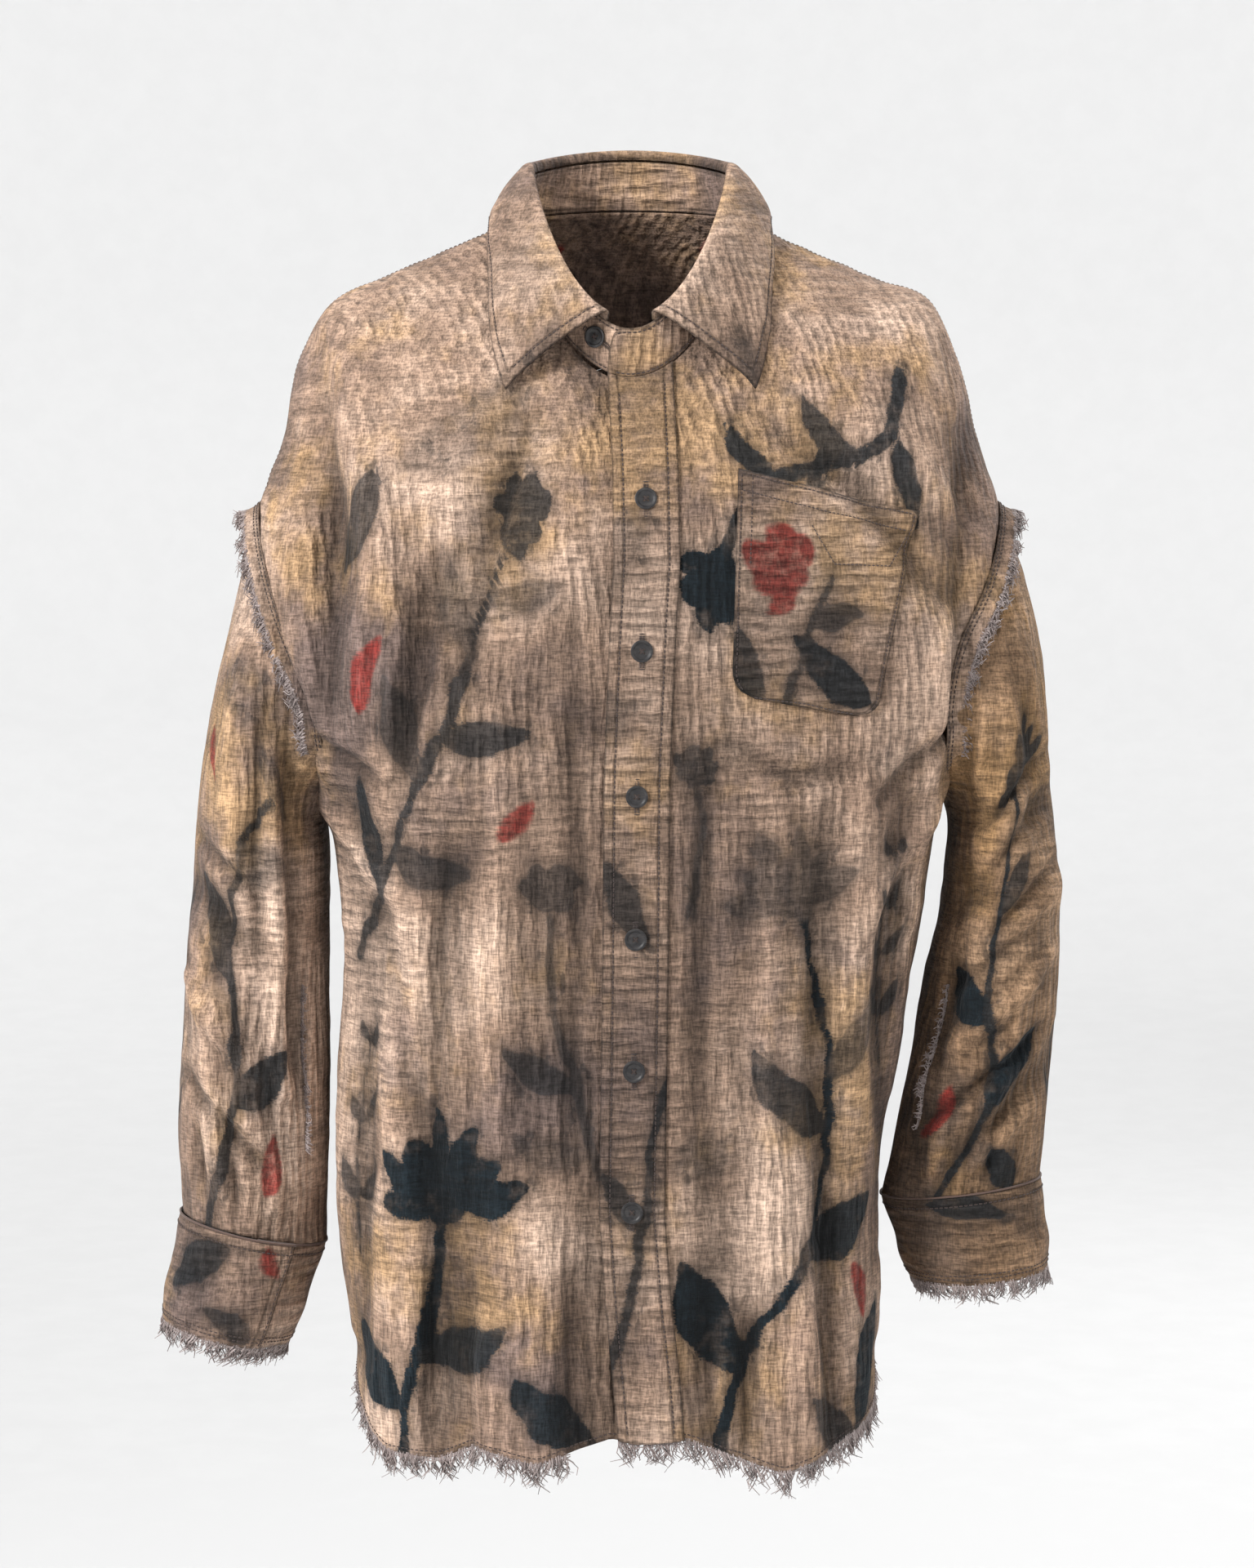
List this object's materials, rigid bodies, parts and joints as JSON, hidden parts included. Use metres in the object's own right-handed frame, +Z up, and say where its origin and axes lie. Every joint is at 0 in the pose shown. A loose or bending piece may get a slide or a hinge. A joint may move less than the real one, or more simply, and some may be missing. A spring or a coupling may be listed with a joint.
{
  "type": "button-up shirt",
  "caption": "Loose long-sleeved button-up shirt in crinkled printed gauze, worn shape, with fold-over collar, breast pocket and raw frayed edges.",
  "frame": {"origin": "level with the neck end of the shoulder seams, midway between them, where the wearer's shoulders hold the shirt", "axes": "+Z up along the wearer, +X towards the wearer's left, -Y out of the front"},
  "size_m": [0.573, 0.2747, 0.8318],
  "materials": {
    "printed_gauze": "matte crinkled cotton double gauze, tan with a dark plant print",
    "frayed_threads": "matte loose cotton threads",
    "button": "satin dark four-hole button"
  },
  "bodies": {
    "root": {"back": "printed_gauze", "button_front_1": "button", "button_front_2": "button", "button_front_3": "button", "button_front_4": "button", "button_front_5": "button", "button_front_6": "button", "button_stand": "button", "collar_fall": "printed_gauze", "collar_stand": "printed_gauze", "cuff_left": "printed_gauze", "cuff_right": "printed_gauze", "fray_armhole_left": "frayed_threads", "fray_armhole_right": "frayed_threads", "fray_cuff_left": "frayed_threads", "fray_cuff_right": "frayed_threads", "fray_hem_back": "frayed_threads", "fray_hem_left": "frayed_threads", "fray_hem_right": "frayed_threads", "fray_sleeve_left": "frayed_threads", "fray_sleeve_right": "frayed_threads", "front_left": "printed_gauze", "front_right": "printed_gauze", "placket": "printed_gauze", "pocket": "printed_gauze", "sleeve_left": "printed_gauze", "sleeve_right": "printed_gauze", "yoke": "printed_gauze"}
  },
  "joints": []
}
